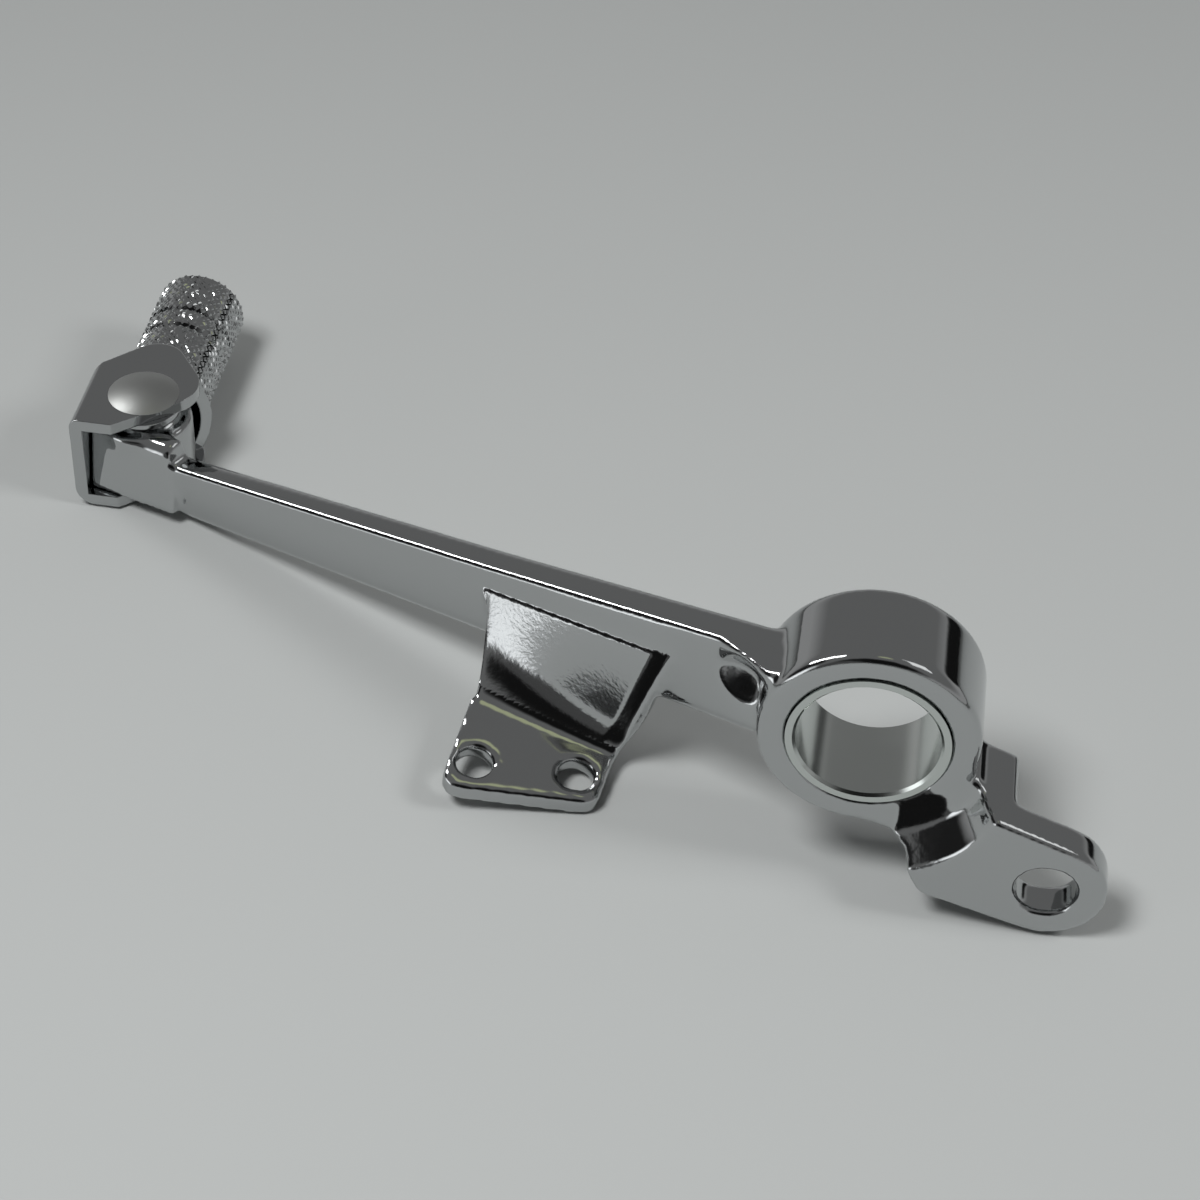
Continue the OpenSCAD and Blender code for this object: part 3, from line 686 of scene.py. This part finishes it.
def knurl_mesh(plate):
    """The peg's diamonds as one plain mesh."""
    knurl = scene().pedal_knurl
    low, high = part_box("toe_peg")
    radius = (high[0] - low[0]) / 2
    hinge_y = frame["joints"][0]["pos_m"][1]
    obj = link(bpy.data.objects.new("knurled_peg", bpy.data.meshes.new("knurled_peg")))
    mod = obj.modifiers.new("knurl", "NODES")
    mod.node_group = knurl_tree()
    values = {
        "Around": knurl.around,
        "Rings": int((knurl.last - knurl.first) / knurl.row_step) + 1,
        "Radius": radius - knurl.height * DIAMOND_SUNK,
        "Step": knurl.row_step,
        "Height": knurl.height,
        "Groove A": knurl.grooves[0] - knurl.first,
        "Groove B": knurl.grooves[1] - knurl.first,
        "Groove Width": knurl.row_step * GROOVE_CLEAR,
        "Wobble": knurl.wobble,
        "Centre": Vector(((low[0] + high[0]) / 2, hinge_y + knurl.first, (low[2] + high[2]) / 2)),
        "Material": plate,
    }
    for item in mod.node_group.interface.items_tree:
        if item.name in values:
            mod[item.identifier] = values[item.name]
    diamonds = evaluated_mesh(obj)
    obj.modifiers.clear()
    obj.data = diamonds
    return obj


class OBJECT_OT_pedal_peg(Operator):
    """Adds the knurled toe peg"""

    bl_idname = "object.pedal_peg"
    bl_label = "Toe peg"

    def execute(self, context):
        plate = chrome("plating_peg")
        knurl = knurl_mesh(plate)
        core = link(bpy.data.objects.new("peg_core", frame["nodes"]["toe_peg"].data.copy()))
        core.data.set_sharp_from_angle(angle=PEG_SHARP_ANGLE)
        core.data.polygons.foreach_set("use_smooth", [True] * len(core.data.polygons))
        both = [core, knurl]
        with context.temp_override(active_object=core, selected_editable_objects=both, object=core):
            bpy.ops.object.join()
        paint(core, plate)
        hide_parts("toe_peg")
        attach(core, "toe")
        return {"FINISHED"}


# Stage

def lay_floor(color):
    """Plain floor under the pedal."""
    corners = [(x * FLOOR_HALF, y * FLOOR_HALF, FLOOR_Z) for x, y in ((-1, -1), (1, -1), (1, 1), (-1, 1))]
    mesh = bpy.data.meshes.new("floor")
    mesh.from_pydata(corners, [], [(0, 1, 2, 3)])
    floor = link(bpy.data.objects.new("floor", mesh))
    mat, _, bsdf = shader("paper")
    bsdf.inputs["Base Color"].default_value = (*color, 1)
    bsdf.inputs["Roughness"].default_value = FLOOR_ROUGH
    bsdf.inputs["Specular IOR Level"].default_value = FLOOR_SHINE
    paint(floor, mat)


def area_light(name, towards, away, size, power):
    """Rectangular lamp that shines at the pedal."""
    data = bpy.data.lights.new(name, "AREA")
    data.shape = "RECTANGLE"
    data.size, data.size_y = size
    data.energy = power
    obj = link(bpy.data.objects.new(name, data))
    way = Vector(towards).normalized()
    obj.location = LAMPS_AIM + way * away
    obj.rotation_euler = way.to_track_quat("Z", "Y").to_euler()
    return obj


def room(st):
    """World that is brighter or darker in some directions, as a workshop is round the table."""
    world = bpy.data.worlds.new("room")
    scene().world = world
    world.use_nodes = True
    tree = world.node_tree
    new, join = tree.nodes.new, tree.links.new
    back = next(n for n in tree.nodes if n.type == "BACKGROUND")
    coord = new("ShaderNodeTexCoord").outputs["Generated"]
    split = new("ShaderNodeSeparateXYZ")
    join(coord, split.inputs[0])
    ramp = new("ShaderNodeValToRGB")
    steps = ((0.0, st.walls), (WALLS_END, st.walls), (CEILING_STARTS, st.ceiling), (1.0, st.ceiling))
    while len(ramp.color_ramp.elements) < len(steps):
        ramp.color_ramp.elements.new(0.5)
    for stop, (height, tone) in zip(ramp.color_ramp.elements, steps):
        stop.position, stop.color = height, (tone, tone, tone, 1)
    join(split.outputs["Z"], ramp.inputs["Fac"])
    color = ramp.outputs["Color"]
    for towards, inner, outer, tone in PATCHES:
        dot = new("ShaderNodeVectorMath")
        dot.operation = "DOT_PRODUCT"
        dot.inputs[1].default_value = Vector(towards).normalized()
        join(coord, dot.inputs[0])
        fade = new("ShaderNodeMapRange")
        fade.interpolation_type = "SMOOTHSTEP"
        fade.inputs["From Min"].default_value = math.cos(math.radians(outer))
        fade.inputs["From Max"].default_value = math.cos(math.radians(inner))
        join(dot.outputs["Value"], fade.inputs["Value"])
        mix = new("ShaderNodeMix")
        mix.data_type = "RGBA"
        join(fade.outputs["Result"], mix.inputs["Factor"])
        join(color, mix.inputs["A"])
        mix.inputs["B"].default_value = (*tone, 1)
        color = mix.outputs["Result"]
    join(color, back.inputs["Color"])
    back.inputs["Strength"].default_value = 1.0


def set_camera(st):
    """Camera at the photograph's viewing angle."""
    turn, down, roll = st.azimuth, st.elevation, st.roll
    look = Vector((math.sin(turn) * math.cos(down), math.cos(turn) * math.cos(down), -math.sin(down)))
    level = Vector((math.cos(turn), -math.sin(turn), 0))
    upright = level.cross(look)
    right = level * math.cos(roll) + upright * math.sin(roll)
    up = upright * math.cos(roll) - level * math.sin(roll)
    cam = bpy.data.cameras.new("camera")
    cam.sensor_width = SENSOR_WIDTH
    cam.lens = st.lens
    cam.clip_start, cam.clip_end = CLIP
    obj = link(bpy.data.objects.new("camera", cam))
    facing = Matrix((right, up, -look)).transposed().to_4x4()
    obj.matrix_world = Matrix.Translation(Vector(st.place)) @ facing
    scene().camera = obj


class OBJECT_OT_pedal_stage(Operator):
    """Adds the floor, the lights, the room and the camera"""

    bl_idname = "object.pedal_stage"
    bl_label = "Stage"

    def execute(self, context):
        st = context.scene.pedal_stage
        lay_floor(st.floor_color)
        for name, towards, away, size, power, hidden_from in LAMPS:
            lamp = area_light(name, towards, away, size, getattr(st, power))
            setattr(lamp, hidden_from, False)
        room(st)
        set_camera(st)
        context.scene.view_settings.view_transform = "Standard"
        return {"FINISHED"}


OPERATORS = (
    OBJECT_OT_pedal_casting,
    OBJECT_OT_pedal_bush,
    OBJECT_OT_pedal_bracket,
    OBJECT_OT_pedal_peg,
    OBJECT_OT_pedal_stage,
)


class VIEW3D_PT_brake_pedal(Panel):
    """Lists the pedal's settings and the operators that build it"""

    bl_label = "Brake pedal"
    bl_idname = "VIEW3D_PT_brake_pedal"
    bl_space_type = "VIEW_3D"
    bl_region_type = "UI"
    bl_category = "Brake pedal"

    def draw(self, context):
        for name, group in SETTINGS:
            column = self.layout.column()
            column.label(text=group.__doc__)
            for prop in group.__annotations__:
                column.prop(getattr(context.scene, name), prop)
        for op in OPERATORS:
            self.layout.operator(op.bl_idname)


CLASSES = tuple(group for _, group in SETTINGS) + OPERATORS + (VIEW3D_PT_brake_pedal,)


def register():
    for cls in CLASSES:
        bpy.utils.register_class(cls)
    for name, group in SETTINGS:
        setattr(bpy.types.Scene, name, PointerProperty(type=group))


def unregister():
    for name, _ in SETTINGS:
        delattr(bpy.types.Scene, name)
    for cls in reversed(CLASSES):
        bpy.utils.unregister_class(cls)


def main():
    register()
    bpy.ops.object.pedal_casting()
    bpy.ops.object.pedal_bush()
    bpy.ops.object.pedal_bracket()
    bpy.ops.object.pedal_peg()
    bpy.ops.object.pedal_stage()


if __name__ == "__main__":
    main()
